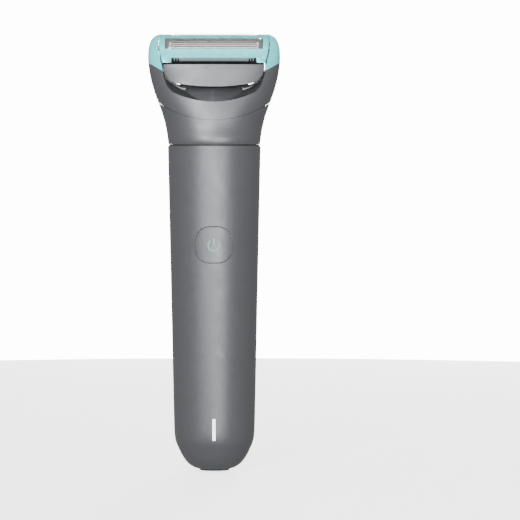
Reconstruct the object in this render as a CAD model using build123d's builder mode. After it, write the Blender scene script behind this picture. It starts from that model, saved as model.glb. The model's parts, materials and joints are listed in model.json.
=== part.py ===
"""Body groomer: an oval handle with a click-off neck and a pivoting shaving head.

Millimetres. The long axis is +Z, the front (button side) faces -Y, and the
origin is at the mouth of the charging socket, in the middle of the base.
"""
import os
from math import cos, pi, radians, sin

from build123d import *

# ---------------------------------------------------------------- handle
depth_ratio = 0.83           # depth of the oval handle over its width
handle_top = 133.65          # upper edge of the two handle shells
top_half = 19.1              # half-width of the handle at its top
low_half, low_z = 16.7, 19.3    # where the rounded base runs into the straight taper
shell_wall = 2.0
clear = 0.1                  # gap between pieces that are clipped or screwed together

# ---------------------------------------------------------------- head
neck_base = 134.35           # lower edge of the neck, above the seam
tilt = 42.0                  # forward tilt of the shaving head
pivot_y, pivot_z = -3.66, 173.6     # axis that the head pivots about, along X
fork_gap = 21.1              # half of the space between the fork's arms
head_half = 20.6             # half-width of the pivoting head between the arms
dome_radius = 22.55          # ends of the cassette are part of a sphere about the pivot
dome_gap = 0.45
shroud_wall = 1.8
floor_z = 157.4              # saddle between the fork's arms
smile_radius = 40.4          # parting line between the neck and the fork
smile_z = 144.2
smile_groove = 0.13          # width of the shallow groove along that line

# ---------------------------------------------------------------- drive
stroke = 1.2                 # cutters move this far either way
rocker_z = 153.0             # height of the rocker's fixed pin
crank_pin_z = 142.0          # height at which the crank pin drives the rocker
throw = stroke * (rocker_z - crank_pin_z) / (pivot_z - rocker_z)
rocker_pin_radius = 1.0
crank_pin_radius = 0.8
ball_radius = 1.0

# ---------------------------------------------------------------- cassette, in the tilted plane
top_arc_radius, top_arc_height = 14.8, 3.0
foil_radius, foil_crown, foil_thickness = 5.33, 3.7, 0.15
bar_edge = 7.0               # outer edge of the bars beside the foil
lobe_front, lobe_rear = 9.2, 8.8
lobe_inner = 17.5            # the corner lobes stand outside this half-width
trimmer_half = 16.7
tooth_pitch, tooth_width, tooth_tip = 1.0, 0.46, 8.6
base_half = 19.0             # half-width of the cassette's inner frame
lobe_floor_z = 167.55

# ---------------------------------------------------------------- button, light, socket
button_z, button_size, button_corner = 93.5, 14.4, 5.5
button_gap, button_travel = 0.4, 0.5
light_z, light_width, light_height = 17.85, 1.3, 8.9
socket_width, socket_depth, socket_height = 8.6, 5.6, 10.5
socket_half = 6.2            # half-width of the socket's oval body

# ---------------------------------------------------------------- inside the handle
board_y, board_thickness = -5.6, 1.2     # front face of the circuit board
board_width, board_low, board_high = 20.0, 16.0, 100.0
cell_radius, cell_low, cell_high, cell_y = 7.1, 32.0, 80.0, 3.2
motor_radius, motor_flat, motor_low, motor_high = 10.0, 7.6, 105.0, 127.0
rail_x, rail_width = 8.9, 1.6

os.makedirs("parts", exist_ok=True)

HEAD = Plane(
    origin=(0, pivot_y, pivot_z),
    x_dir=(1, 0, 0),
    z_dir=(0, -sin(radians(tilt)), cos(radians(tilt))),
)
HEAD_SIDE = Plane(origin=(0, pivot_y, pivot_z), x_dir=HEAD.y_dir, z_dir=(1, 0, 0))

# height, half-width, front, rear, power of the rounded section
head_sections = [
    (neck_base, 18.85, -15.65, 15.65, 2.0),
    (140.2, 19.7, -15.2, 15.4, 2.05),
    (147.6, 21.6, -14.2, 14.6, 2.2),
    (155.0, 24.3, -12.9, 13.0, 2.45),
    (162.4, 26.3, -11.9, 10.8, 2.7),
    (168.5, 27.1, -11.1, 8.7, 2.8),
    (173.5, 26.95, -8.7, 7.0, 2.8),
    (177.0, 25.9, -5.4, 5.7, 2.7),
    (178.7, 24.4, -3.0, 4.9, 2.6),
    (179.6, 21.6, -1.0, 3.9, 2.4),
]


def save(builder, name):
    """Label a finished piece and write its STEP file."""
    builder.part.label = name
    export_step(builder.part, f"parts/{name}.step")


taper = (top_half - low_half) / (handle_top - low_z)


def side_half(z):
    """Half-width of the handle's straight side at a height."""
    return low_half + taper * (z - low_z)


def oval_ring(points):
    """Ring about the axis from a polygon of (half-width, height), squeezed to the oval."""
    with BuildPart() as ring:
        with BuildSketch(Plane.XZ):
            Polygon(*points, align=None)
        revolve(axis=Axis.Z)
        scale(by=(1, depth_ratio, 1))
    return ring.part


def handle_wall():
    """Both handle shells as one oval tube, open at the top and round the socket."""
    inner_low, inner_top = low_half - shell_wall, top_half - shell_wall
    with BuildPart() as wall:
        with BuildSketch(Plane.XZ):
            with BuildLine():
                outside = Spline(
                    (socket_half, 0.45), (10.9, 2.8), (15.0, 9.4), (low_half, low_z),
                    tangents=[(1, 0.25), (taper, 1)],
                )
                side = Line(outside @ 1, (top_half, handle_top))
                rim = Line(side @ 1, (inner_top, handle_top))
                bore = Line(rim @ 1, (inner_low, low_z))
                inside = Spline(
                    bore @ 1, (13.0, 10.4), (9.4, 4.8), (socket_half, 2.9),
                    tangents=[(-taper, -1), (-1, -0.25)],
                )
                Line(inside @ 1, outside @ 0)
            make_face()
        revolve(axis=Axis.Z)
        scale(by=(1, depth_ratio, 1))
    return wall.part


def head_body(inset=0.0):
    """Solid with the neck's and fork's outer form, smaller by inset all round."""
    count = 20
    with BuildPart() as form:
        for z, half, front, rear, power in head_sections:
            middle, depth = (front + rear) / 2, (rear - front) / 2 - inset
            width = half - inset
            points = []
            for i in range(count):
                c, s = cos(2 * pi * i / count + pi / 2), sin(2 * pi * i / count + pi / 2)
                swell = (abs(c) ** power + abs(s) ** power) ** (-1 / power)
                points.append((width * swell * c, middle + depth * swell * s))
            with BuildSketch(Plane.XY.offset(z)):
                with BuildLine():
                    Spline(*points, periodic=True)
                make_face()
        loft()
    return form.part


def button_block(size, corner, front, back):
    """Prism with the button's rounded square section, along Y."""
    with BuildPart() as block:
        with BuildSketch(Plane.XZ.offset(-front)):
            with Locations((0, button_z)):
                RectangleRounded(size, size, corner)
        extrude(amount=front - back)
    return block.part



def outline_prism(points, front, back):
    """Prism along Y from a polygon drawn in front view."""
    with BuildPart() as prism:
        with BuildSketch(Plane.XZ.offset(-front)):
            Polygon(*points, align=None)
        extrude(amount=front - back)
    return prism.part


def mirrored_box(low, high):
    """A box and its mirror image across the middle plane, as one tool."""
    size = [high[i] - low[i] for i in range(3)]
    middle = [(high[i] + low[i]) / 2 for i in range(3)]
    with BuildPart() as pair:
        with Locations(tuple(middle), (-middle[0], middle[1], middle[2])):
            Box(*size)
    return pair.part


def tilted_box(width, v_low, v_high, n_low, n_high):
    """A box across the whole head, in the head's tilted plane."""
    with BuildPart() as block:
        with BuildSketch(HEAD.offset(n_low)):
            with Locations((0, (v_low + v_high) / 2)):
                Rectangle(width, v_high - v_low)
        extrude(amount=n_high - n_low)
    return block.part


def cross_rod(radius, x_low, x_high):
    """A rod on the pivot axis and its mirror image."""
    with BuildPart() as rods:
        for start, way in ((x_low, 1), (-x_low, -1)):
            with BuildSketch(Plane(origin=(start, pivot_y, pivot_z), z_dir=(way, 0, 0))):
                Circle(radius)
            extrude(amount=x_high - x_low)
    return rods.part


# ================================================================ shared forms
handle_form = oval_ring([(0, 9), (side_half(9), 9), (side_half(120), 120), (0, 120)])
handle_tube = handle_wall()
head_form = head_body()
head_core = head_body(inset=shroud_wall)

# ================================================================ handle
grip_low, grip_high, grip_width, rib_pitch = 31.0, 113.0, 21.0, 3.6
rib_count = 19
pad_points = [(side_half(grip_low) + 0.05, grip_low), (side_half(grip_low) + 0.75, grip_low)]
for i in range(rib_count):
    z = 72 + rib_pitch * (i - rib_count // 2)
    for dz, rise in ((-1.2, 0.6), (-0.6, 1.05), (0.6, 1.05), (1.2, 0.6)):
        pad_points.append((side_half(z + dz) + rise, z + dz))
pad_points += [(side_half(grip_high) + 0.75, grip_high), (side_half(grip_high) + 0.05, grip_high)]
with BuildPart() as rear_grip:
    with BuildSketch(Plane.XZ.offset(-30)):
        with Locations((0, (grip_low + grip_high) / 2)):
            RectangleRounded(grip_width, grip_high - grip_low, grip_width / 2 - 0.1)
    extrude(amount=30)
    add(oval_ring(pad_points), mode=Mode.INTERSECT)
save(rear_grip, "rear_grip")

button_opening = button_block(
    button_size + 2 * button_gap, button_corner + button_gap, -20, -9
)
with BuildPart() as light_slot:
    with Locations((0, -14, light_z)):
        Box(light_width, 9, light_height)

with BuildPart() as front_shell:
    add(handle_tube)
    split(bisect_by=Plane.XZ, keep=Keep.TOP)
    add(button_opening, mode=Mode.SUBTRACT)
    add(light_slot.part, mode=Mode.SUBTRACT)
save(front_shell, "front_shell")

with BuildPart() as rear_shell:
    add(handle_tube)
    split(bisect_by=Plane.XZ, keep=Keep.BOTTOM)
save(rear_shell, "rear_shell")

with BuildPart() as charging_socket:
    with BuildSketch():
        Ellipse(socket_half - 0.05, socket_half * depth_ratio - 0.05)
        RectangleRounded(socket_width, socket_depth, 2.4, mode=Mode.SUBTRACT)
    extrude(amount=13)
    with BuildSketch(Plane.XY.offset(socket_height)):
        RectangleRounded(socket_width, socket_depth, 2.4)
        with Locations((-2, 0), (2, 0)):
            Circle(0.6, mode=Mode.SUBTRACT)
    extrude(amount=13 - socket_height)
save(charging_socket, "charging_socket")

with BuildPart() as charge_pins:
    with BuildSketch(Plane.XY.offset(5.6)):
        with Locations((-2, 0), (2, 0)):
            Circle(0.6)
    extrude(amount=9.4)
    fillet(charge_pins.edges().group_by(Axis.Z)[0], 0.3)
save(charge_pins, "charge_pins")

with BuildPart() as socket_gasket:
    with BuildSketch(Plane.XY.offset(4.4)):
        Ellipse(socket_half + 1.2, socket_half * depth_ratio + 1.2)
        Ellipse(socket_half, socket_half * depth_ratio, mode=Mode.SUBTRACT)
    extrude(amount=1.4)
save(socket_gasket, "socket_gasket")

# ---------------------------------------------------------------- board and its parts
with BuildPart() as circuit_board:
    with BuildSketch(Plane.XZ.offset(-board_y)):
        with Locations((0, (board_low + board_high) / 2)):
            RectangleRounded(board_width, board_high - board_low, 2)
    extrude(amount=-board_thickness)
    with Locations((0, board_y - 0.5, 48), (-5, board_y - 0.5, 62), (5, board_y - 0.5, 70)):
        Box(6, 1, 6)
    with Locations((-5, board_y - 0.3, 34), (4, board_y - 0.3, 32), (4, board_y - 0.3, 38)):
        Box(3.2, 0.6, 1.6)
    with Locations((0, board_y - 0.4, light_z)):
        Box(1.6, 0.8, 6)
    for x in (-rail_x, rail_x):
        for z in (24, 92):
            with Locations((x, board_y + board_thickness / 2, z)):
                Cylinder(0.85, 4, rotation=(90, 0, 0), mode=Mode.SUBTRACT)
save(circuit_board, "circuit_board")

with BuildPart() as light_guide:
    with Locations((0, -12, light_z)):
        Box(light_width - 0.04, 11, light_height - 0.04)
    add(handle_form, mode=Mode.INTERSECT)
    with Locations((0, board_y - 0.4, light_z)):
        Box(4, 1.0, 12, mode=Mode.SUBTRACT)
save(light_guide, "light_guide")

with BuildPart() as button_switch:
    with Locations((0, board_y - 1.5, button_z)):
        Box(6, 3, 6)
    with Locations((0, board_y - 3.3, button_z)):
        Cylinder(1.6, 0.6, rotation=(90, 0, 0))
save(button_switch, "button_switch")

switch_tip = board_y - 3.6   # front of the switch's plunger
button_back = -11.2
stem_length = switch_tip - button_travel - clear - (button_back + 0.9)
with BuildPart() as power_button:
    add(button_block(button_size, button_corner, -20, button_back))
    add(handle_form, mode=Mode.INTERSECT)
    with BuildSketch(Plane.XZ.offset(-button_back)):
        with Locations((0, button_z)):
            RectangleRounded(button_size + 2, button_size + 2, button_corner + 1)
    extrude(amount=-0.9)
    with BuildSketch(Plane.XZ.offset(-button_back - 0.9)):
        with Locations((0, button_z)):
            Circle(2)
    extrude(amount=-stem_length)
save(power_button, "power_button")

with BuildPart() as button_gasket:
    with BuildSketch(Plane.XZ.offset(10.2)):
        with Locations((0, button_z)):
            RectangleRounded(20.4, 20.4, 8)
            RectangleRounded(17.8, 17.8, 7, mode=Mode.SUBTRACT)
    extrude(amount=-1.0)
save(button_gasket, "button_gasket")

# ---------------------------------------------------------------- cell, chassis, motor
with BuildPart() as battery:
    with BuildSketch(Plane.XY.offset(cell_low)):
        with Locations((0, cell_y)):
            Circle(cell_radius)
    extrude(amount=cell_high - cell_low)
    fillet(battery.edges().filter_by(GeomType.CIRCLE), 0.6)
save(battery, "battery")

with BuildPart() as battery_tabs:
    for z in (cell_low - 0.3, cell_high):
        with Locations((0, 0.4, z + 0.15)):
            Box(4, 9.4, 0.3)
save(battery_tabs, "battery_tabs")

with BuildPart() as chassis:
    add(mirrored_box((rail_x - rail_width / 2, board_y + board_thickness, 20),
                     (rail_x + rail_width / 2, 3.2, 98)))
    for z in (40, 56, 72):
        with Locations((0, -0.6, z)):
            Box(2 * rail_x, 7.6, 3)
    with BuildSketch(Plane.XY.offset(20)):
        with Locations((0, cell_y)):
            Circle(cell_radius + clear)
    extrude(amount=78, mode=Mode.SUBTRACT)
    for x in (-rail_x, rail_x):
        for z in (24, 92):
            with Locations((x, board_y + board_thickness + 1.6, z)):
                Cylinder(0.7, 3.2, rotation=(90, 0, 0), mode=Mode.SUBTRACT)
save(chassis, "chassis")

with BuildPart() as board_screws:
    for x in (-rail_x, rail_x):
        for z in (24, 92):
            with Locations((x, board_y - 0.5, z)):
                Cylinder(1.3, 1.0, rotation=(90, 0, 0))
            with Locations((x, board_y + 2.1, z)):
                Cylinder(0.7, 4.2, rotation=(90, 0, 0))
save(board_screws, "board_screws")

with BuildPart() as motor_can:
    with BuildSketch(Plane.XY.offset(motor_low)):
        Circle(motor_radius)
        Rectangle(4 * motor_radius, 2 * motor_flat, mode=Mode.INTERSECT)
    extrude(amount=motor_high - motor_low)
    with BuildSketch(Plane.XY.offset(motor_high)):
        Circle(3)
    extrude(amount=1.2)
    with BuildSketch(Plane.XY.offset(motor_high - 8)):
        Circle(1.05)
    extrude(amount=10, mode=Mode.SUBTRACT)
save(motor_can, "motor_can")

with BuildPart() as motor_end_cap:
    with BuildSketch(Plane.XY.offset(motor_low - 3)):
        Circle(motor_radius - 0.6)
        Rectangle(4 * motor_radius, 2 * motor_flat - 1.2, mode=Mode.INTERSECT)
    extrude(amount=3)
save(motor_end_cap, "motor_end_cap")

with BuildPart() as motor_contacts:
    for x in (-4, 4):
        with Locations((x, board_y + 1.4, 99.8)):
            Box(1.8, 0.3, 4.4)
        with Locations((x, board_y + 2.4, 101.85)):
            Box(1.8, 2.3, 0.3)
save(motor_contacts, "motor_contacts")

deck_width, deck_depth = 2 * (top_half - shell_wall) - 0.5, 2 * depth_ratio * 17.1 - 0.5
with BuildPart() as motor_mount:
    with BuildSketch(Plane.XY.offset(motor_high)):
        Ellipse(deck_width / 2 - 0.2, deck_depth / 2 - 0.2)
        Circle(3.0 + clear, mode=Mode.SUBTRACT)
    extrude(amount=2.4)
    with BuildSketch(Plane.XY.offset(motor_high)):
        with Locations((-12, 0), (12, 0)):
            Circle(0.85)
    extrude(amount=2.4, mode=Mode.SUBTRACT)
save(motor_mount, "motor_mount")

deck_low = motor_high + 2.4
spigot_top = handle_top + 6.8
with BuildPart() as drive_deck:
    with BuildSketch(Plane.XY.offset(deck_low)):
        Ellipse(deck_width / 2, deck_depth / 2)
    extrude(amount=handle_top - deck_low)
    with BuildSketch(Plane.XY.offset(handle_top)):
        Ellipse(12.5, 9.5)
    extrude(amount=spigot_top - handle_top)
    fillet(drive_deck.faces().sort_by(Axis.Z)[-1].edges(), 0.8)
    for radius, low, high in (
        (4.2, deck_low, 138.0), (2.6, 138.0, spigot_top), (5.2, spigot_top - 1.2, spigot_top)
    ):
        with BuildSketch(Plane.XY.offset(low)):
            Circle(radius)
        extrude(amount=high - low, mode=Mode.SUBTRACT)
    add(mirrored_box((11.6, -2.6, 135.0), (13, 2.6, 139.2)), mode=Mode.SUBTRACT)
    with BuildSketch(Plane.XY.offset(deck_low)):
        with Locations((-12, 0), (12, 0)):
            Circle(0.7)
    extrude(amount=132 - deck_low, mode=Mode.SUBTRACT)
save(drive_deck, "drive_deck")

with BuildPart() as latch_clips:
    add(mirrored_box((11.65, -2.5, 135.1), (12.35, 2.5, 139.1)))
save(latch_clips, "latch_clips")

with BuildPart() as shaft_seal:
    with BuildSketch(Plane.XY.offset(spigot_top - 1.2)):
        Circle(5.2)
        Circle(2.6, mode=Mode.SUBTRACT)
    extrude(amount=1.0)
save(shaft_seal, "shaft_seal")

with BuildPart() as seam_gasket:
    with BuildSketch(Plane.XY.offset(handle_top)):
        Ellipse(top_half - 0.5, (top_half - 0.5) * depth_ratio)
        Ellipse(14.2, 11.2, mode=Mode.SUBTRACT)
    extrude(amount=neck_base - handle_top - 0.05)
save(seam_gasket, "seam_gasket")

with BuildPart() as deck_screws:
    for x in (-12, 12):
        for radius, low, high in ((1.4, motor_high - 1, motor_high), (0.7, motor_high, 132)):
            with BuildSketch(Plane.XY.offset(low)):
                with Locations((x, 0)):
                    Circle(radius)
            extrude(amount=high - low)
save(deck_screws, "deck_screws")

# ---------------------------------------------------------------- crank
with BuildPart() as motor_shaft:
    with BuildSketch(Plane.XY.offset(motor_high - 7.5)):
        Circle(1.0)
    extrude(amount=15)
save(motor_shaft, "motor_shaft")

shaft_top = motor_high + 7.5
with BuildPart() as crank:
    with BuildSketch(Plane.XY.offset(shaft_top - 1.5)):
        Circle(3.4)
    extrude(amount=3.5)
    with BuildSketch(Plane.XY.offset(shaft_top - 1.5)):
        Circle(1.0)
    extrude(amount=1.5, mode=Mode.SUBTRACT)
    with BuildSketch(Plane.XY.offset(shaft_top + 2)):
        with Locations((throw, 0)):
            Circle(crank_pin_radius)
    extrude(amount=crank_pin_z + 1.4 - shaft_top - 2)
save(crank, "crank")

# ================================================================ neck and fork
def smile_drum(radius):
    """Drum along Y whose underside is the curved parting line of the neck."""
    with BuildPart() as drum:
        with BuildSketch(Plane.XZ.offset(-30)):
            with Locations((0, smile_z + smile_radius)):
                Circle(radius)
        extrude(amount=60)
    return drum.part


with BuildPart() as neck_bore:
    for half, depth, low, high in ((13.1, 10.1, 134, 141.3), (12.2, 8.6, 141.3, 151)):
        with BuildSketch(Plane.XY.offset(low)):
            Ellipse(half, depth)
        extrude(amount=high - low)

with BuildPart() as neck_collar:
    add(head_form)
    add(smile_drum(smile_radius), mode=Mode.SUBTRACT)
    add(neck_bore.part, mode=Mode.SUBTRACT)
save(neck_collar, "neck_collar")

# space between the arms, in front view: rounded where the arms join the saddle.
# A sill behind the pivot stands a little higher and closes the view below the head
def arm_gap(level, bend, corner):
    with BuildSketch() as gap:
        with BuildLine():
            floor = Line((-12.5, level), (12.5, level))
            right = ThreePointArc(floor @ 1, bend, corner)
            wall = Line(right @ 1, (corner[0], 190))
            roof = Line(wall @ 1, (-corner[0], 190))
            left = Line(roof @ 1, (-corner[0], corner[1]))
            ThreePointArc(left @ 1, (-bend[0], bend[1]), floor @ 0)
        make_face()
    return gap.sketch


sill_front, sill_rear, sill_half = 2.4, 5.0, 20.85
with BuildPart() as pocket:
    with BuildSketch(Plane.XZ.offset(-30)):
        add(arm_gap(158.6, (17.9, 160.8), (sill_half, 165.3)))
    extrude(amount=60)
    for near, far in ((-sill_front, 30), (-30, -sill_rear)):
        with BuildSketch(Plane.XZ.offset(near)):
            add(arm_gap(floor_z, (17.8, 159.4), (fork_gap, 163.4)))
        extrude(amount=far - near)

# the arms are dished round the pivot, so that the cassette's domed ends turn freely
cap_radius = dome_radius + dome_gap
cap_base = sill_half - 0.1
cap_rim = (cap_radius**2 - cap_base**2) ** 0.5
with BuildPart() as pocket_caps:
    for side in (-1, 1):
        with BuildSketch(Plane(origin=(0, pivot_y, pivot_z), x_dir=(side, 0, 0),
                               z_dir=(0, side, 0))):
            with BuildLine():
                flat = Line((cap_base, 0), (cap_base, cap_rim))
                middle = cap_rim / 2
                dome = ThreePointArc(
                    flat @ 1, ((cap_radius**2 - middle**2) ** 0.5, middle), (cap_radius, 0)
                )
                Line(dome @ 1, flat @ 0)
            make_face()
        revolve(axis=Axis((0, pivot_y, pivot_z), (1, 0, 0)))

# scooped recess below the front shroud, with a keel down its middle
keel_y, keel_slope, facet_end = -11.4, 0.55, (16.8, -5.2)
with BuildPart() as facets:
    with BuildSketch(Plane.XY.offset(smile_z + 5)):
        shift = keel_slope * (smile_z + 5 - 151.7)
        Polygon(
            (-26, -20), (26, -20), (26, facet_end[1] + shift), (facet_end[0], facet_end[1] + shift),
            (0, keel_y + shift), (-facet_end[0], facet_end[1] + shift), (-26, facet_end[1] + shift),
            align=None,
        )
    extrude(amount=17, dir=(0, keel_slope, 1))


with BuildSketch() as recess_face:
    with BuildLine():
        arc = ThreePointArc((-17.1, 155.8), (0, 151.7), (17.1, 155.8))
        Polyline(
            arc @ 1, (19.1, 158.1), (fork_gap - 0.1, 163.2), (fork_gap - 0.1, 168),
            (-fork_gap + 0.1, 168), (-fork_gap + 0.1, 163.2), (-19.1, 158.1), arc @ 0,
        )
    make_face()

with BuildPart() as recess:
    with BuildSketch(Plane.XZ.offset(20)):
        add(recess_face.sketch)
    extrude(amount=-10.7)
    with BuildSketch(Plane.XZ.offset(9.3)):
        add(recess_face.sketch)
    extrude(amount=-5, taper=28)
    add(facets.part, mode=Mode.INTERSECT)

# the ear caps sit above a slanting joint across each arm
def ear_prisms(drop=0.0):
    with BuildPart() as prisms:
        for side in (-1, 1):
            add(outline_prism(
                [(side * 18, 162.6 - drop), (side * 30, 169.47 - drop), (side * 30, 190),
                 (side * 18, 190)], -30, 30))
    return prisms.part


tongues = mirrored_box((23.3, -6, 163.2), (24.8, 0, 171))
with BuildPart() as lever_slot:
    with Locations((0, 0, 155)):
        Box(9.4, 3.6, 10)
with BuildPart() as pin_bore:
    with BuildSketch(Plane.XZ.offset(-5)):
        with Locations((0, rocker_z)):
            Circle(rocker_pin_radius)
    extrude(amount=10)
# the bow springs sit in wells between the recess and the sill
spring_y, spring_reach, spring_low, spring_high = -1.05, 3.2, 155.6, 157.75
spring_thickness = 0.3
with BuildPart() as spring_wells:
    add(mirrored_box((7.5, spring_y - spring_reach - 0.15, spring_low),
                     (11.5, spring_y + spring_reach + 0.15, floor_z + 0.5)))

# inside the outer wall the fork reaches down onto the neck, which closes the groove
with BuildPart() as fork_lip:
    add(head_core)
    add(smile_drum(smile_radius), mode=Mode.INTERSECT)

with BuildPart() as fork_housing:
    add(head_form)
    add(smile_drum(smile_radius - smile_groove), mode=Mode.INTERSECT)
    add(fork_lip.part)
    add(neck_bore.part, mode=Mode.SUBTRACT)
    add(pocket.part, mode=Mode.SUBTRACT)
    add(pocket_caps.part, mode=Mode.SUBTRACT)
    add(recess.part, mode=Mode.SUBTRACT)
    add(lever_slot.part, mode=Mode.SUBTRACT)
    add(pin_bore.part, mode=Mode.SUBTRACT)
    add(spring_wells.part, mode=Mode.SUBTRACT)
    add(ear_prisms(), mode=Mode.SUBTRACT)
    add(tongues)
save(fork_housing, "fork_housing")

pivot_rods = cross_rod(1.0, 19.3, 25.2)
for side, name in ((-1, "ear_cap_left"), (1, "ear_cap_right")):
    with BuildPart() as ear_cap:
        add(head_form)
        add(ear_prisms(), mode=Mode.INTERSECT)
        add(pocket.part, mode=Mode.SUBTRACT)
        add(pocket_caps.part, mode=Mode.SUBTRACT)
        add(tongues, mode=Mode.SUBTRACT)
        add(pivot_rods, mode=Mode.SUBTRACT)
        split(bisect_by=Plane.YZ, keep=Keep.TOP if side > 0 else Keep.BOTTOM)
    save(ear_cap, name)

with BuildPart() as pivot_pins:
    add(pivot_rods)
save(pivot_pins, "pivot_pins")

with BuildPart() as rocker_pin:
    add(pin_bore.part)
save(rocker_pin, "rocker_pin")

with BuildPart() as centering_springs:
    for x in (-9.5, 9.5):
        with BuildSketch(Plane(origin=(x - 1.5, 0, 0), x_dir=(0, 1, 0), z_dir=(1, 0, 0))):
            with BuildLine():
                front, rear = spring_y - spring_reach, spring_y + spring_reach
                low = ThreePointArc((front, spring_low), (spring_y, spring_high), (rear, spring_low))
                side = Line(low @ 1, (rear, spring_low + spring_thickness))
                high = ThreePointArc(
                    side @ 1, (spring_y, spring_high + spring_thickness),
                    (front, spring_low + spring_thickness))
                Line(high @ 1, low @ 0)
            make_face()
        extrude(amount=3)
save(centering_springs, "centering_springs")

# ---------------------------------------------------------------- rocker
with BuildPart() as rocker_lever:
    with Locations((0, 0, rocker_z + 0.4)):
        Box(7.8, 2.8, 5.2)
    add(mirrored_box((2.4, -1.4, 141), (3.9, 1.4, 151)))
    arm = Vector(0, pivot_y, pivot_z - rocker_z - 2)
    with BuildSketch(Plane(origin=(0, 0, rocker_z + 2), z_dir=arm)):
        Circle(0.85)
    extrude(amount=arm.length)
    with Locations((0, pivot_y, pivot_z)):
        Sphere(ball_radius)
    with Locations((0, 0, rocker_z)):
        Cylinder(rocker_pin_radius + 0.05, 4, rotation=(90, 0, 0), mode=Mode.SUBTRACT)
save(rocker_lever, "rocker_lever")

# ================================================================ pivoting head
with BuildPart() as front_outline:
    with BuildSketch(Plane.XZ.offset(20)):
        with BuildLine():
            low = ThreePointArc((-14.1, 159.0), (0, 157.9), (14.1, 159.0))
            right = ThreePointArc(low @ 1, (18.6, 161.1), (head_half, 165.2))
            Polyline(right @ 1, (head_half, 166.9), (-head_half, 166.9), (-head_half, 165.2))
            ThreePointArc((-head_half, 165.2), (-18.6, 161.1), low @ 0)
        make_face()
    extrude(amount=-15)

with BuildPart() as rear_outline:
    with BuildSketch(Plane.XZ):
        with BuildLine():
            low = ThreePointArc((-14.1, 162.2), (0, 161.2), (14.1, 162.2))
            right = ThreePointArc(low @ 1, (18.6, 164.2), (head_half, 168.2))
            Polyline(right @ 1, (head_half, 175.6), (-head_half, 175.6), (-head_half, 168.2))
            ThreePointArc((-head_half, 168.2), (-18.6, 164.2), low @ 0)
        make_face()
    extrude(amount=-20)

for outline, name in ((front_outline, "front_shroud"), (rear_outline, "rear_shroud")):
    with BuildPart() as shroud:
        add(head_form)
        add(outline.part, mode=Mode.INTERSECT)
        add(head_core, mode=Mode.SUBTRACT)
    save(shroud, name)

pan_half, cup_radius, cup_top = 18.6, 15.3, -2.8
# the frame's lower corners are cut back so that they swing clear of the fork's corners
with BuildPart() as swing_drum:
    with BuildSketch(Plane(origin=(0, pivot_y, pivot_z), z_dir=(0, -1, 0), x_dir=(1, 0, 0))):
        Polygon(
            (-head_half, 0), (-head_half, 9.9), (-17.6, 13.2), (-12.4, cup_radius),
            (12.4, cup_radius), (17.6, 13.2), (head_half, 9.9), (head_half, 0), align=None,
        )
    revolve(axis=Axis((0, pivot_y, pivot_z), (1, 0, 0)))

with BuildPart() as pivot_carrier:
    with BuildSketch(Plane(origin=(-head_half, 0, 0), x_dir=(0, 1, 0), z_dir=(1, 0, 0))):
        with BuildLine():
            front_low = (-12, pivot_z - (cup_radius**2 - (12 + pivot_y) ** 2) ** 0.5)
            rear_low = (11, pivot_z - (cup_radius**2 - (11 - pivot_y) ** 2) ** 0.5)
            cup = ThreePointArc(front_low, (pivot_y, pivot_z - cup_radius), rear_low)
            Polyline(cup @ 1, (11, 175.4), (2.9, 175.4), (-7.0, 166.4), (-12, 166.0), cup @ 0)
        make_face()
    extrude(amount=2 * head_half)
    add(swing_drum.part, mode=Mode.INTERSECT)
    add(head_core, mode=Mode.INTERSECT)
    add(tilted_box(60, -12, 12, cup_top, 6), mode=Mode.SUBTRACT)
    add(tilted_box(2 * pan_half, -4.6, 4.6, -6.5, 0), mode=Mode.SUBTRACT)
    with Locations((0, -1.1, 163.5)):
        Box(6.4, 12.2, 15, mode=Mode.SUBTRACT)
    with BuildSketch(HEAD.offset(-6.5)):
        with Locations((-14, 0), (14, 0)):
            Rectangle(2, 6)
    extrude(amount=4.15)
    with BuildSketch(HEAD.offset(-4)):
        for x in (-19.9, 19.9):
            with Locations((x, 0)):
                Rectangle(1.4, 4)
    extrude(amount=4)
    add(cross_rod(2.0, 19.2, 22.2))
    add(cross_rod(1.05, 19.0, 23), mode=Mode.SUBTRACT)
save(pivot_carrier, "pivot_carrier")

# ---------------------------------------------------------------- cutters on their bridge
bridge_half = 17.0
foil_axis = foil_crown - foil_radius     # height of the foil's centre line
foil_gap = 0.2


def arch_sector(outer, inner, half_angle):
    """Face of an arched strip over the foil's centre line, in the head's side plane."""
    with BuildSketch() as sector:
        with BuildLine():
            c, s = cos(radians(half_angle)), sin(radians(half_angle))
            over = ThreePointArc(
                (-outer * s, foil_axis + outer * c), (0, foil_axis + outer),
                (outer * s, foil_axis + outer * c),
            )
            side = Line(over @ 1, (inner * s, foil_axis + inner * c))
            under = ThreePointArc(
                side @ 1, (0, foil_axis + inner), (-inner * s, foil_axis + inner * c)
            )
            Line(under @ 1, over @ 0)
        make_face()
    return sector.sketch


with BuildPart() as cutter_bridge:
    with BuildSketch(HEAD.offset(-2.3)):
        Rectangle(2 * bridge_half, 5.2)
        with Locations((0, -1.2)):
            Rectangle(2.7, 4.6, mode=Mode.SUBTRACT)
        with Locations((-2.05, -4.2), (2.05, -4.2)):
            Rectangle(1.1, 4.0)
        with Locations((0, -5.8)):
            Rectangle(5.2, 0.8)
        with Locations((0, 4.2)):
            Rectangle(5.2, 4.0)
    extrude(amount=0.8)
    with BuildSketch(HEAD.offset(-1.5)):
        with Locations((-2.35, 0), (2.35, 0)):
            Rectangle(2.0, 2.8)
    extrude(amount=2.8)
    with BuildSketch(HEAD.offset(-1.5)):
        with Locations((0, -5.95), (0, 5.95)):
            Rectangle(2.0, 0.5)
    extrude(amount=1.65)
save(cutter_bridge, "cutter_bridge")

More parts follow.
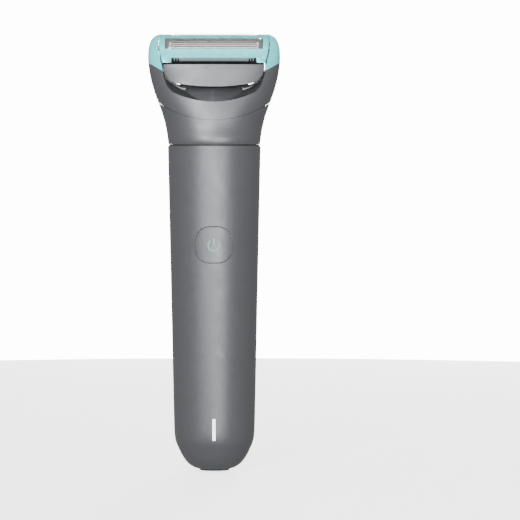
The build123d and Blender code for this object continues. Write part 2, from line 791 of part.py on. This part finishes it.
blade_pitch, blade_count, blade_thickness = 1.3, 27, 0.35
blade_outer = foil_radius - foil_thickness - foil_gap
blade_face = arch_sector(blade_outer, 3.3, 58)
with BuildPart() as foil_cutter:
    for i in range(blade_count):
        x = (i - (blade_count - 1) / 2) * blade_pitch - blade_thickness / 2
        with BuildSketch(HEAD_SIDE.offset(x)):
            add(blade_face)
        extrude(amount=blade_thickness)
    add(tilted_box(2 * bridge_half, -1.6, 1.6, 1.3, 2.4))
save(foil_cutter, "foil_cutter")

with BuildPart() as cutter_springs:
    for x in (-10, 10):
        with BuildSketch(Plane(origin=HEAD.origin - HEAD.y_dir * 1.5, x_dir=(1, 0, 0),
                               z_dir=HEAD.y_dir)):
            with BuildLine():
                low = ThreePointArc((x - 5, 1.5), (x, -1.05), (x + 5, 1.5))
                Line(low @ 1, (x + 5, 1.25))
                high = ThreePointArc((x + 5, 1.25), (x, -1.3), (x - 5, 1.25))
                Line(high @ 1, low @ 0)
            make_face()
        extrude(amount=3)
save(cutter_springs, "cutter_springs")

# ---------------------------------------------------------------- cassette
with BuildPart() as cassette_frame:
    with BuildSketch(HEAD.offset(-2.6)):
        with BuildLine():
            Polyline(
                (-23, lobe_rear), (-lobe_inner, lobe_rear), (-lobe_inner, bar_edge),
                (lobe_inner, bar_edge), (lobe_inner, lobe_rear), (23, lobe_rear),
                (23, -lobe_front), (lobe_inner, -lobe_front), (lobe_inner, -bar_edge),
                (-lobe_inner, -bar_edge), (-lobe_inner, -lobe_front), (-23, -lobe_front),
                close=True,
            )
        make_face()
        fillet([v for v in vertices() if abs(v.X) < 20 and abs(v.Y) > bar_edge + 0.1], 1.05)
        fillet([v for v in vertices() if abs(abs(v.Y) - bar_edge) < 0.01], 0.6)
    extrude(amount=8)
    with BuildSketch(HEAD_SIDE.offset(-25)):
        with Locations((0, top_arc_height - top_arc_radius)):
            Circle(top_arc_radius)
    extrude(amount=50, mode=Mode.INTERSECT)
    with Locations((0, pivot_y, pivot_z)):
        Sphere(dome_radius, mode=Mode.INTERSECT)
    with Locations((0, 0, lobe_floor_z - 10)):
        Box(60, 60, 20, mode=Mode.SUBTRACT)
    with BuildSketch(HEAD_SIDE.offset(-19.95)):
        with Locations((0, foil_axis)):
            Circle(foil_radius + 0.1)
    extrude(amount=39.9, mode=Mode.SUBTRACT)
    add(tilted_box(2 * base_half + 0.04, -7.1, 7.1, -3, 0.8), mode=Mode.SUBTRACT)
    with BuildSketch(HEAD.offset(-3)):
        for x in (-21.2, 21.2):
            with Locations((x, 0)):
                Rectangle(4.6, 4.5)
    extrude(amount=3, mode=Mode.SUBTRACT)
    add(cross_rod(2.25, 18.9, 23), mode=Mode.SUBTRACT)
save(cassette_frame, "cassette_frame")

with BuildPart() as cassette_base:
    with BuildSketch(HEAD.offset(-2.6)):
        Rectangle(2 * base_half, 14)
        Rectangle(2 * base_half - 1.2, 10, mode=Mode.SUBTRACT)
    extrude(amount=2.4)
    with BuildSketch(HEAD.offset(-2.6)):
        with Locations((0, -5.7), (0, 5.7)):
            Rectangle(8.2, 1.6)
    extrude(amount=2.4, mode=Mode.SUBTRACT)
save(cassette_base, "cassette_base")

with BuildPart() as foil:
    with BuildSketch(HEAD_SIDE.offset(-19.8)):
        add(arch_sector(foil_radius, foil_radius - foil_thickness, 65))
    extrude(amount=39.6)
save(foil, "foil")


def toothed_plate(side, half, tip, low, high):
    """Comb plate in the tilted plane: a base strip with teeth along its outer edge."""
    tooth_count = int(2 * half / tooth_pitch)
    root = bar_edge + 0.1
    with BuildPart() as plate:
        with BuildSketch(HEAD.offset(low)):
            with Locations((0, side * (5.2 + root) / 2)):
                Rectangle(2 * half, root - 5.2)
            with Locations((0, side * (root + tip) / 2)):
                with GridLocations(tooth_pitch, 1, tooth_count, 1):
                    Rectangle(tooth_width, tip - root + 0.02)
        extrude(amount=high - low)
    return plate.part


for side, place in ((-1, "front"), (1, "rear")):
    with BuildPart() as comb:
        add(toothed_plate(side, trimmer_half, tooth_tip, 0.35, 0.75))
        with BuildSketch(HEAD.offset(-0.2)):
            with Locations((-16.3, side * 6.1), (16.3, side * 6.1)):
                Rectangle(0.8, 1.8)
        extrude(amount=0.55)
    save(comb, f"{place}_trimmer_comb")
    with BuildPart() as blade:
        add(toothed_plate(side, 14.4, tooth_tip - 0.3, -0.15, 0.25))
        with BuildSketch(HEAD.offset(-0.2)):
            with Locations((0, side * 5.95)):
                Rectangle(2.7, 1.0)
        extrude(amount=0.6, mode=Mode.SUBTRACT)
    save(blade, f"{place}_trimmer_blade")
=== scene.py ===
"""Body groomer: finishes, the pierced shaving foil, the power symbol, a dark lip under the head as painted
shade, floor, lights and camera.

Metres, in the frame of the CAD model: front faces -Y, long axis +Z.
"""
import json
from math import cos, pi, radians, sin

import bmesh
import bpy
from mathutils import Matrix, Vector
from mathutils.bvhtree import BVHTree


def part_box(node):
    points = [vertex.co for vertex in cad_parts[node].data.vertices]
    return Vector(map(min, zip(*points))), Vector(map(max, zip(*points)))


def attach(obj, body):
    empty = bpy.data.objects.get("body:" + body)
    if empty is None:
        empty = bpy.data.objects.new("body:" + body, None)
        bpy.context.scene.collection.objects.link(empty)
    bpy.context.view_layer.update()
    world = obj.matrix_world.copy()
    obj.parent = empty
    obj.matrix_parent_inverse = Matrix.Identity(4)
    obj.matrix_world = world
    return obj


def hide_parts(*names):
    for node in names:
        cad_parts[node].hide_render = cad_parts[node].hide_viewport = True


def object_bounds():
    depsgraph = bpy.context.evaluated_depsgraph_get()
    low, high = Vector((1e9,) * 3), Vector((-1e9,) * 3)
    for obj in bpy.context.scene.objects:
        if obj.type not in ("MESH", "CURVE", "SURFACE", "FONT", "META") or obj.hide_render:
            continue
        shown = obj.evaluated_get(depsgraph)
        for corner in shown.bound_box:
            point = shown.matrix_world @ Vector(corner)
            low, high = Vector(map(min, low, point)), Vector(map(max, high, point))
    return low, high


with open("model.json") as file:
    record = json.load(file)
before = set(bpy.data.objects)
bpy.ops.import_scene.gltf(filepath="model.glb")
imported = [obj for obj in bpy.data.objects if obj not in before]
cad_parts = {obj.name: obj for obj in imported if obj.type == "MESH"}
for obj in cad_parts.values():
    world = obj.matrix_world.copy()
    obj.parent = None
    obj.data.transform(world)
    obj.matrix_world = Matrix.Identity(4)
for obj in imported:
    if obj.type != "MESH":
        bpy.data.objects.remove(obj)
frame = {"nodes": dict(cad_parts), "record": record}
cad_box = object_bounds()
joints = {joint["name"]: joint for joint in frame["record"]["behaviour"]["joints"]}
slots = {part["node"]: part["material_slot"] for part in frame["record"]["subparts"]}

MM = 0.001
PIVOT = Vector(joints["head_pivot"]["pos_m"])
HEAD_NORMAL = Vector(joints["cassette_lift"]["axis"]).normalized()
HEAD_ACROSS = HEAD_NORMAL.cross(Vector((1, 0, 0)))


# ---------------------------------------------------------------- materials
class Finish:
    """A node material with a few helpers; coordinates are the object's own, in metres."""

    def __init__(self, name, colour, roughness, metallic=0.0, **constants):
        self.material = bpy.data.materials.new(name)
        self.material.use_nodes = True
        self.nodes = self.material.node_tree.nodes
        self.links = self.material.node_tree.links
        self.shader = self.nodes["Principled BSDF"]
        self.colour = colour
        self.roughness = roughness
        self.shader.inputs["Base Color"].default_value = (*colour, 1)
        self.shader.inputs["Roughness"].default_value = roughness
        self.shader.inputs["Metallic"].default_value = metallic
        for socket, value in constants.items():
            self.shader.inputs[socket.replace("_", " ")].default_value = value
        self.place = self.nodes.new("ShaderNodeTexCoord").outputs["Object"]

    def noise(self, scale, detail=3.0, stretch=(1, 1, 1)):
        """Noise with about `scale` cells to the metre, drawn out along an axis by a small stretch."""
        mapping = self.nodes.new("ShaderNodeMapping")
        mapping.inputs["Scale"].default_value = stretch
        noise = self.nodes.new("ShaderNodeTexNoise")
        noise.inputs["Scale"].default_value = scale
        noise.inputs["Detail"].default_value = detail
        self.links.new(self.place, mapping.inputs["Vector"])
        self.links.new(mapping.outputs["Vector"], noise.inputs["Vector"])
        return noise.outputs["Fac"]

    def ranged(self, value, low, high, to_low, to_high):
        node = self.nodes.new("ShaderNodeMapRange")
        for socket, number in zip(("From Min", "From Max", "To Min", "To Max"),
                                  (low, high, to_low, to_high)):
            node.inputs[socket].default_value = number
        self.links.new(value, node.inputs["Value"])
        return node.outputs["Result"]

    def mixed(self, factor, first, second):
        """A colour between two: each is three numbers, or another node's output."""
        node = self.nodes.new("ShaderNodeMix")
        node.data_type = "RGBA"
        self.links.new(factor, node.inputs[0])
        for socket, colour in ((node.inputs[6], first), (node.inputs[7], second)):
            if isinstance(colour, tuple):
                socket.default_value = (*colour, 1)
            else:
                self.links.new(colour, socket)
        return node.outputs[2]

    def times(self, first, second):
        node = self.nodes.new("ShaderNodeMath")
        node.operation = "MULTIPLY"
        self.links.new(first, node.inputs[0])
        self.links.new(second, node.inputs[1])
        return node.outputs[0]

    def bumps(self, *layers):
        """Stacks bump layers, each (height output, strength, depth in metres)."""
        normal = None
        for height, strength, depth in layers:
            bump = self.nodes.new("ShaderNodeBump")
            bump.inputs["Strength"].default_value = strength
            bump.inputs["Distance"].default_value = depth
            self.links.new(height, bump.inputs["Height"])
            if normal is not None:
                self.links.new(normal, bump.inputs["Normal"])
            normal = bump.outputs["Normal"]
        self.links.new(normal, self.shader.inputs["Normal"])
        return self

    def varied_roughness(self, scale, spread, stretch=(1, 1, 1)):
        rough = self.ranged(self.noise(scale, 4, stretch), 0.3, 0.7,
                            self.roughness - spread, self.roughness + spread)
        self.links.new(rough, self.shader.inputs["Roughness"])
        return self

    def worn(self, tint_scale, tint, worn_colour, amount):
        """Slow drift of the colour, and paler edges where the surface has been rubbed."""
        darker = tuple(c * (1 - tint) for c in self.colour)
        lighter = tuple(min(1.0, c * (1 + tint)) for c in self.colour)
        drift = self.mixed(self.noise(tint_scale, 3), darker, lighter)
        geometry = self.nodes.new("ShaderNodeNewGeometry")
        edge = self.ranged(geometry.outputs["Pointiness"], 0.53, 0.62, 0.0, amount)
        patchy = self.ranged(self.noise(tint_scale * 8, 4), 0.4, 0.65, 0.15, 1.0)
        self.links.new(self.mixed(self.times(edge, patchy), drift, worn_colour),
                       self.shader.inputs["Base Color"])
        return self


def moulded(name, colour, roughness, grain, depth, metallic=0.0, **constants):
    """Injection-moulded plastic: a spark-eroded grain over a very faint flow ripple."""
    finish = Finish(name, colour, roughness, metallic, **constants)
    pale = tuple(c + (1 - c) * 0.25 for c in colour)
    finish.worn(45, 0.035, pale, 0.08)
    finish.varied_roughness(220, 0.045)
    return finish.bumps((finish.noise(110, 2), 0.15, 0.00003), (finish.noise(grain, 2), 0.5, depth)).material


def brushed(name, colour, roughness, stretch, **constants):
    """Drawn or ground metal, with its scratches along one axis."""
    finish = Finish(name, colour, roughness, 1.0, **constants)
    finish.worn(90, 0.06, tuple(min(1.0, c * 1.15) for c in colour), 0.5)
    finish.varied_roughness(2600, 0.07, stretch)
    return finish.bumps((finish.noise(5200, 3, stretch), 0.35, 0.000006),
                        (finish.noise(300, 2), 0.2, 0.00001)).material


def rubber(name, colour, roughness, ribs):
    """Soft rubber with dust in its grain, and fine cross ribs where ribs is their pitch."""
    finish = Finish(name, colour, roughness, Sheen_Weight=0.15, Sheen_Roughness=0.5)
    finish.worn(60, 0.10, tuple(c + 0.05 for c in colour), 0.3)
    finish.varied_roughness(400, 0.06)
    layers = [(finish.noise(3800, 2), 0.5, 0.00002)]
    if ribs:
        wave = finish.nodes.new("ShaderNodeTexWave")
        wave.bands_direction = "Z"
        wave.inputs["Scale"].default_value = 0.314 / ribs
        finish.links.new(finish.place, wave.inputs["Vector"])
        layers.insert(0, (wave.outputs["Fac"], 0.6, 0.00025))
    return finish.bumps(*layers).material


def glowing(name, colour, strength):
    """The lit lens: a frosted bar that glows, a little unevenly."""
    finish = Finish(name, colour, 0.3, Emission_Color=(0.93, 0.98, 1.0, 1.0))
    lit = finish.ranged(finish.noise(500, 2), 0.3, 0.7, strength * 0.85, strength * 1.1)
    finish.links.new(lit, finish.shader.inputs["Emission Strength"])
    finish.varied_roughness(300, 0.08)
    return finish.bumps((finish.noise(3000, 2), 0.3, 0.00001)).material


BODY = (0.142, 0.144, 0.155)
LENS_GLOW = 2.6
materials = {
    "body_grey": moulded("body_satin", BODY, 0.42, 5200, 0.000022, 0.6,
                         Coat_Weight=0.12, Coat_Roughness=0.35),
    "grip_rubber": rubber("grip_rubber", (0.075, 0.076, 0.08), 0.62, 0.0022),
    "mint": moulded("mint_gloss", (0.15, 0.86, 0.88), 0.27, 3000, 0.000006, 0.1,
                    Coat_Weight=0.3, Coat_Roughness=0.12),
    "black_plastic": moulded("black_moulded", (0.012, 0.012, 0.013), 0.5, 4200, 0.00002),
    "steel": brushed("ground_steel", (0.4, 0.4, 0.41), 0.36, (1, 0.06, 0.06)),
    "foil_steel": brushed("foil_steel", (0.62, 0.60, 0.575), 0.3, (0.1, 1, 1)),
    "seal_rubber": rubber("seal_rubber", (0.016, 0.016, 0.018), 0.6, None),
    "contact_brass": brushed("plated_brass", (0.78, 0.58, 0.26), 0.25, (1, 1, 0.1)),
    "light_lens": glowing("lit_lens", (0.9, 0.93, 0.95), LENS_GLOW),
    "board_green": moulded("solder_mask", (0.012, 0.10, 0.035), 0.35, 2600, 0.00001),
    "cell_wrap": moulded("shrink_wrap", (0.03, 0.09, 0.32), 0.3, 1500, 0.00002),
    "white_plastic": moulded("white_moulded", (0.72, 0.72, 0.70), 0.42, 4200, 0.00002),
}
for node_name, slot_name in slots.items():
    piece = frame["nodes"][node_name]
    piece.data.materials.clear()
    piece.data.materials.append(materials[slot_name])
BUTTON_CAP = moulded("button_satin", tuple(c * 0.97 for c in BODY), 0.38, 5200, 0.000018, 0.6,
                     Coat_Weight=0.15, Coat_Roughness=0.3)
# the cutter is darkened past its steel as painted shade seen through the foil's holes; its bridge and the
# springs are darker here than their slots in the record
CUTTER_PAINTED_SHADE = brushed("cutter_steel_painted_shade", (0.07, 0.07, 0.075), 0.45, (1, 0.06, 0.06))
for node_name, finish in (("power_button", BUTTON_CAP), ("foil_cutter", CUTTER_PAINTED_SHADE),
                          ("cutter_bridge", materials["black_plastic"]),
                          ("centering_springs", materials["black_plastic"])):
    frame["nodes"][node_name].data.materials[0] = finish


def soften_edges(node_name, radius):
    """Rounds a moulded piece's sharp edges inwards."""
    node = frame["nodes"][node_name]
    weld = node.modifiers.new("weld", "WELD")
    weld.merge_threshold = 0.000004
    bevel = node.modifiers.new("edges", "BEVEL")
    bevel.width = radius
    bevel.segments = 3
    bevel.limit_method = "ANGLE"
    bevel.angle_limit = radians(28)
    bevel.use_clamp_overlap = True
    bevel.harden_normals = True


CASSETTE_EDGE = 0.45 * MM
soften_edges("cassette_frame", CASSETTE_EDGE)


def new_piece(name, mesh_maker, material, body):
    """A piece of the object from a bmesh that mesh_maker fills in."""
    mesh = bpy.data.meshes.new(name)
    bm = bmesh.new()
    mesh_maker(bm)
    bmesh.ops.remove_doubles(bm, verts=bm.verts, dist=0.000002)
    bmesh.ops.recalc_face_normals(bm, faces=bm.faces)
    bm.to_mesh(mesh)
    bm.free()
    mesh.polygons.foreach_set("use_smooth", [True] * len(mesh.polygons))
    piece = bpy.data.objects.new(name, mesh)
    bpy.context.scene.collection.objects.link(piece)
    mesh.materials.append(material)
    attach(piece, body)
    return piece


# ---------------------------------------------------------------- shaving foil
FOIL_RADIUS = 5.33 * MM
FOIL_CROWN = 3.7 * MM
FOIL_SPAN = radians(65)
FOIL_THICKNESS = 0.12 * MM
PIERCED_HALF = 17.7 * MM
CELLS_ALONG, ROWS = 36, 12
HOLE_SHARE = 0.37             # hole radius over the cell's width
HOLE_SIDES = 8

foil_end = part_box("foil")[1].x
cell_length = 2 * PIERCED_HALF / CELLS_ALONG


def on_foil(along, turn):
    """Point of the foil's outer face: distance along the head, and angle over the arch."""
    return (Vector((along, 0, 0)) + PIVOT + HEAD_ACROSS * (FOIL_RADIUS * sin(turn))
            + HEAD_NORMAL * (FOIL_CROWN - FOIL_RADIUS + FOIL_RADIUS * cos(turn)))


def fill_foil(bm):
    """Staggered rows of cells, each a ring of eight faces round a hole, between plain ends."""
    row_turn = 2 * FOIL_SPAN / ROWS

    def patch(points):
        bm.faces.new([bm.verts.new(on_foil(along, turn)) for along, turn in points])

    def plain(left, right, row):
        low = -FOIL_SPAN + row * row_turn
        for half in (0, 1):
            start, end = low + half * row_turn / 2, low + (half + 1) * row_turn / 2
            patch([(left, start), (right, start), (right, end), (left, end)])

    def pierced(middle, row):
        centre = -FOIL_SPAN + (row + 0.5) * row_turn
        ring = []
        for step in range(HOLE_SIDES):
            angle = step * 2 * pi / HOLE_SIDES
            across, up = cos(angle), sin(angle)
            edge = 1 / max(abs(across), abs(up))
            ring.append((
                (middle + across * edge * cell_length / 2, centre + up * edge * row_turn / 2),
                (middle + across * HOLE_SHARE * cell_length,
                 centre + up * HOLE_SHARE * cell_length / FOIL_RADIUS),
            ))
        for step in range(HOLE_SIDES):
            (outer, inner), (next_outer, next_inner) = ring[step], ring[(step + 1) % HOLE_SIDES]
            patch([outer, next_outer, next_inner, inner])

    for row in range(ROWS):
        shift = row % 2 * cell_length / 2
        for cell in range(CELLS_ALONG - row % 2):
            pierced(-PIERCED_HALF + shift + (cell + 0.5) * cell_length, row)
        for side in (-1, 1):
            inner_edge, outer_edge = side * PIERCED_HALF, side * foil_end
            plain(min(inner_edge, outer_edge), max(inner_edge, outer_edge), row)
            if shift:
                near = side * (PIERCED_HALF - shift)
                plain(min(near, inner_edge), max(near, inner_edge), row)


pierced_foil = new_piece("pierced_foil", fill_foil, materials["foil_steel"], "cassette")
sheet = pierced_foil.modifiers.new("thickness", "SOLIDIFY")
sheet.thickness = FOIL_THICKNESS
sheet.offset = -1
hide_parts("foil")


# ---------------------------------------------------------------- power symbol on the button
SYMBOL_RADIUS, SYMBOL_STROKE = 2.3 * MM, 0.6 * MM
SYMBOL_GAP = radians(34)
SYMBOL_PROUD = 0.04 * MM
SYMBOL_DROP = 0.2 * MM        # below the middle of the button
BAR_LOW, BAR_HIGH = -0.2 * MM, 2.9 * MM

button = frame["nodes"]["power_button"]
button_low, button_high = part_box("power_button")
symbol_z = (button_low.z + button_high.z) / 2 - SYMBOL_DROP
button_skin = BVHTree.FromPolygons([v.co for v in button.data.vertices],
                                   [tuple(p.vertices) for p in button.data.polygons])


def on_button(x, z, proud):
    """The point of the button's face seen from the front at x, z, lifted off it by proud."""
    start = Vector((x, button_low.y - 0.01, z))
    point, _, _, _ = button_skin.ray_cast(start, Vector((0, 1, 0)))
    return Vector((x, point.y - proud, z))


def ribbon(bm, centre_line):
    """A low ribbon along a line of (x, z) points, with square ends and a shallow crown."""
    sides = 4
    rows = []
    for index, (x, z) in enumerate(centre_line):
        before = Vector(centre_line[max(index - 1, 0)])
        after = Vector(centre_line[min(index + 1, len(centre_line) - 1)])
        along = (after - before).normalized()
        across = Vector((-along.y, along.x))
        row = []
        for step in range(sides + 1):
            share = 2 * step / sides - 1
            place = Vector((x, z)) + across * (share * SYMBOL_STROKE / 2)
            proud = -SYMBOL_PROUD if abs(share) == 1 else SYMBOL_PROUD
            row.append(bm.verts.new(on_button(place.x, place.y, proud)))
        rows.append(row)
    for row, after in zip(rows, rows[1:]):
        for step in range(sides):
            bm.faces.new((row[step], row[step + 1], after[step + 1], after[step]))
    for end in (rows[0], rows[-1]):
        middle = sum((v.co for v in end), Vector()) / len(end)
        tip = bm.verts.new(middle + Vector((0, SYMBOL_PROUD, 0)))
        for step in range(sides):
            bm.faces.new((end[step], end[step + 1], tip))


def fill_symbol(bm):
    """A ring that is open at the top, and an upright bar in the opening."""
    ring_steps, bar_steps = 48, 10
    start, end = pi / 2 + SYMBOL_GAP, 5 * pi / 2 - SYMBOL_GAP
    turns = [start + (end - start) * step / ring_steps for step in range(ring_steps + 1)]
    ribbon(bm, [(SYMBOL_RADIUS * cos(turn), symbol_z + SYMBOL_RADIUS * sin(turn)) for turn in turns])
    ribbon(bm, [(0, symbol_z + BAR_LOW + (BAR_HIGH - BAR_LOW) * step / bar_steps)
                for step in range(bar_steps + 1)])


SYMBOL = moulded("symbol_mint", (0.30, 0.56, 0.54), 0.4, 3000, 0.000005)
new_piece("power_symbol", fill_symbol, SYMBOL, "button")


# ---------------------------------------------------------------- dark lip below the head, as painted shade in the gap there
LIP_HALF, LIP_THICKNESS = 14 * MM, 0.5 * MM
LIP_DEPTH = 1.1 * MM          # from the top of the centring springs down to the lip's foot
LIP_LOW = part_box("centering_springs")[1].z - LIP_DEPTH
CUP_RADIUS = 15.3 * MM        # the head's round underside, about the pivot
CUP_FLAT_HALF, CUP_SLOPE = 12.4 * MM, 0.4
LIP_BITE = 0.12 * MM          # the lip's top stands this far inside the head's underside


def fill_lip(bm):
    """A thin dark wall under the pivot, whose crowned top follows the head's underside, a little inside it;
    it is painted shade, closing the gap where the backdrop would show through.
    """
    steps = 56
    section = ((-0.5, 0), (-0.5, 0.9), (-0.2, 1), (0.2, 1), (0.5, 0.9), (0.5, 0))
    rows = []
    for step in range(steps + 1):
        x = LIP_HALF * (2 * step / steps - 1)
        top = PIVOT.z - (CUP_RADIUS - LIP_BITE) + max(0, abs(x) - CUP_FLAT_HALF) * CUP_SLOPE
        rows.append([bm.verts.new((x, PIVOT.y + across * LIP_THICKNESS,
                                   LIP_LOW + share * (top - LIP_LOW))) for across, share in section])
    for row, after in zip(rows, rows[1:]):
        for corner in range(len(section)):
            other = (corner + 1) % len(section)
            bm.faces.new((row[corner], row[other], after[other], after[corner]))
    for end in (rows[0], rows[-1]):
        bm.faces.new(end)


# a made-up dark rubber lip: painted shade, so the gap under the head reads dark instead of showing the
# backdrop
new_piece("pivot_lip_painted_shade", fill_lip, materials["seal_rubber"], "neck")


# ---------------------------------------------------------------- stage
AMBIENT, BACKDROP = 0.42, 14.0    # what the surroundings light the object by, and what the camera sees
FLOOR_RADIUS, FLOOR_GLOW = 0.6, 2.6
FLOOR_DROP = 0.5 * MM             # below the object's foot


def stage_floor():
    """A round sheet that looks plain and pale, and throws no light of its own onto the object."""
    finish = Finish("floor_paper", (0.9, 0.9, 0.9), 0.8,
                    Emission_Color=(1, 1, 1, 1), Emission_Strength=FLOOR_GLOW)
    finish.varied_roughness(40, 0.05)
    finish.bumps((finish.noise(900, 4), 0.1, 0.00005))
    bpy.ops.mesh.primitive_circle_add(radius=FLOOR_RADIUS, vertices=96, fill_type="NGON",
                                      location=(0, 0, cad_box[0].z - FLOOR_DROP))
    floor = bpy.context.object
    floor.name = "floor"
    floor.visible_diffuse = floor.visible_glossy = False
    floor.data.materials.append(finish.material)


def soft_light(name, place, size, watts, aim):
    """A rectangular lamp, itself unseen by the camera."""
    light = bpy.data.lights.new(name, "AREA")
    light.shape = "RECTANGLE"
    light.size, light.size_y = size
    light.energy = watts
    lamp = bpy.data.objects.new(name, light)
    lamp.location = place
    lamp.rotation_euler = (Vector(aim) - Vector(place)).to_track_quat("-Z", "Y").to_euler()
    lamp.visible_camera = False
    bpy.context.scene.collection.objects.link(lamp)


def stage_world():
    """Plain white behind, and dimmer light than that on the object."""
    world = bpy.data.worlds.new("studio")
    bpy.context.scene.world = world
    world.use_nodes = True
    nodes, links = world.node_tree.nodes, world.node_tree.links
    background = nodes["Background"]
    background.inputs["Color"].default_value = (1, 1, 1, 1)
    ray = nodes.new("ShaderNodeLightPath").outputs["Is Camera Ray"]
    strength = nodes.new("ShaderNodeMapRange")
    strength.inputs["To Min"].default_value = AMBIENT
    strength.inputs["To Max"].default_value = BACKDROP
    links.new(ray, strength.inputs["Value"])
    links.new(strength.outputs["Result"], background.inputs["Strength"])


def stage_camera():
    """From a little above the level of the object, which stands left of the picture's middle."""
    distance, elevation = 1.19, radians(2.5)
    aim = Vector((0.0188, 0, 0.0867))
    camera = bpy.data.cameras.new("camera")
    camera.lens, camera.sensor_width = 200, 36
    camera.clip_start, camera.clip_end = 0.05, 20
    view = bpy.data.objects.new("camera", camera)
    view.location = aim + distance * Vector((0, -cos(elevation), sin(elevation)))
    view.rotation_euler = (pi / 2 - elevation, 0, 0)
    bpy.context.scene.collection.objects.link(view)
    bpy.context.scene.camera = view


stage_floor()
stage_world()
middle = (0, 0, 0.09)
soft_light("key_left", (-0.3, -1.05, 0.42), (0.45, 0.6), 12, middle)
soft_light("fill_front", (0.2, -1.25, 0.1), (0.55, 0.6), 9, middle)
soft_light("rear_key", (0.25, 1.15, 0.45), (0.2, 0.6), 11, middle)
soft_light("rear_fill", (-0.1, 1.3, 0.1), (0.16, 0.6), 7, middle)
soft_light("top", (0.0, -0.35, 0.95), (0.5, 0.4), 2, (0, 0, 0.15))
stage_camera()
